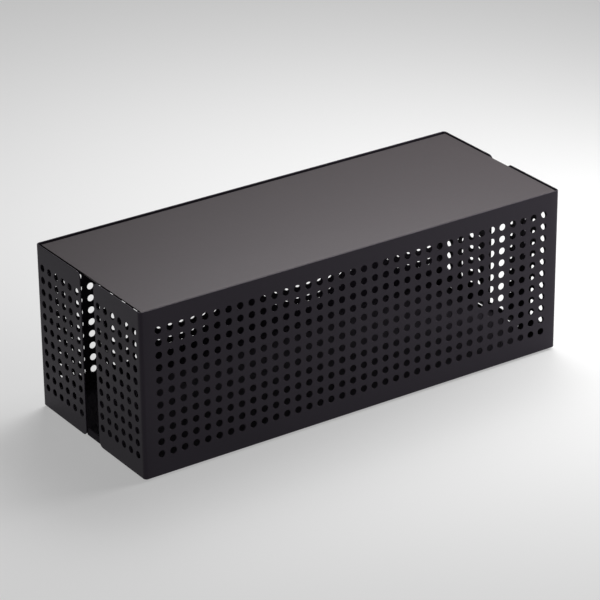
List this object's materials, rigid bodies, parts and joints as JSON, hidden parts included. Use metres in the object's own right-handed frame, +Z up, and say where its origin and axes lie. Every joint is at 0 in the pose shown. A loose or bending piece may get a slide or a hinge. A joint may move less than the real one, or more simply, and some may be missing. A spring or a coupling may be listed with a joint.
{
  "type": "cable management box",
  "caption": "Rectangular perforated sheet-steel box with a drop-in lid and a full-height cable slot at each end, for hiding a power strip and its cables.",
  "frame": {"origin": "centre of the footprint, at the underside of the foot pads", "axes": "+X along the long walls, +Y from the front panel to the back panel, +Z up out of the box"},
  "size_m": [0.395, 0.154, 0.142],
  "materials": {
    "panel_coating": "fine-textured black powder coat on folded steel sheet",
    "lid_coating": "fine-textured black powder coat on folded steel sheet",
    "buffer_silicone": "clear silicone dot",
    "pad_rubber": "matt black rubber"
  },
  "bodies": {
    "box": {"front_panel": "panel_coating", "back_panel": "panel_coating", "floor_tray": "panel_coating", "lid_rest_front_left": "panel_coating", "lid_rest_front_right": "panel_coating", "lid_rest_back_left": "panel_coating", "lid_rest_back_right": "panel_coating", "lid_buffer_front_left": "buffer_silicone", "lid_buffer_front_right": "buffer_silicone", "lid_buffer_back_left": "buffer_silicone", "lid_buffer_back_right": "buffer_silicone", "foot_pad_front_left": "pad_rubber", "foot_pad_front_right": "pad_rubber", "foot_pad_back_left": "pad_rubber", "foot_pad_back_right": "pad_rubber"},
    "lid": {"lid": "lid_coating"}
  },
  "joints": [
    {"name": "lid_lift", "type": "slide", "parent": "box", "child": "lid", "axis": [0, 0, 1], "range_m": [0, 0.06]}
  ]
}
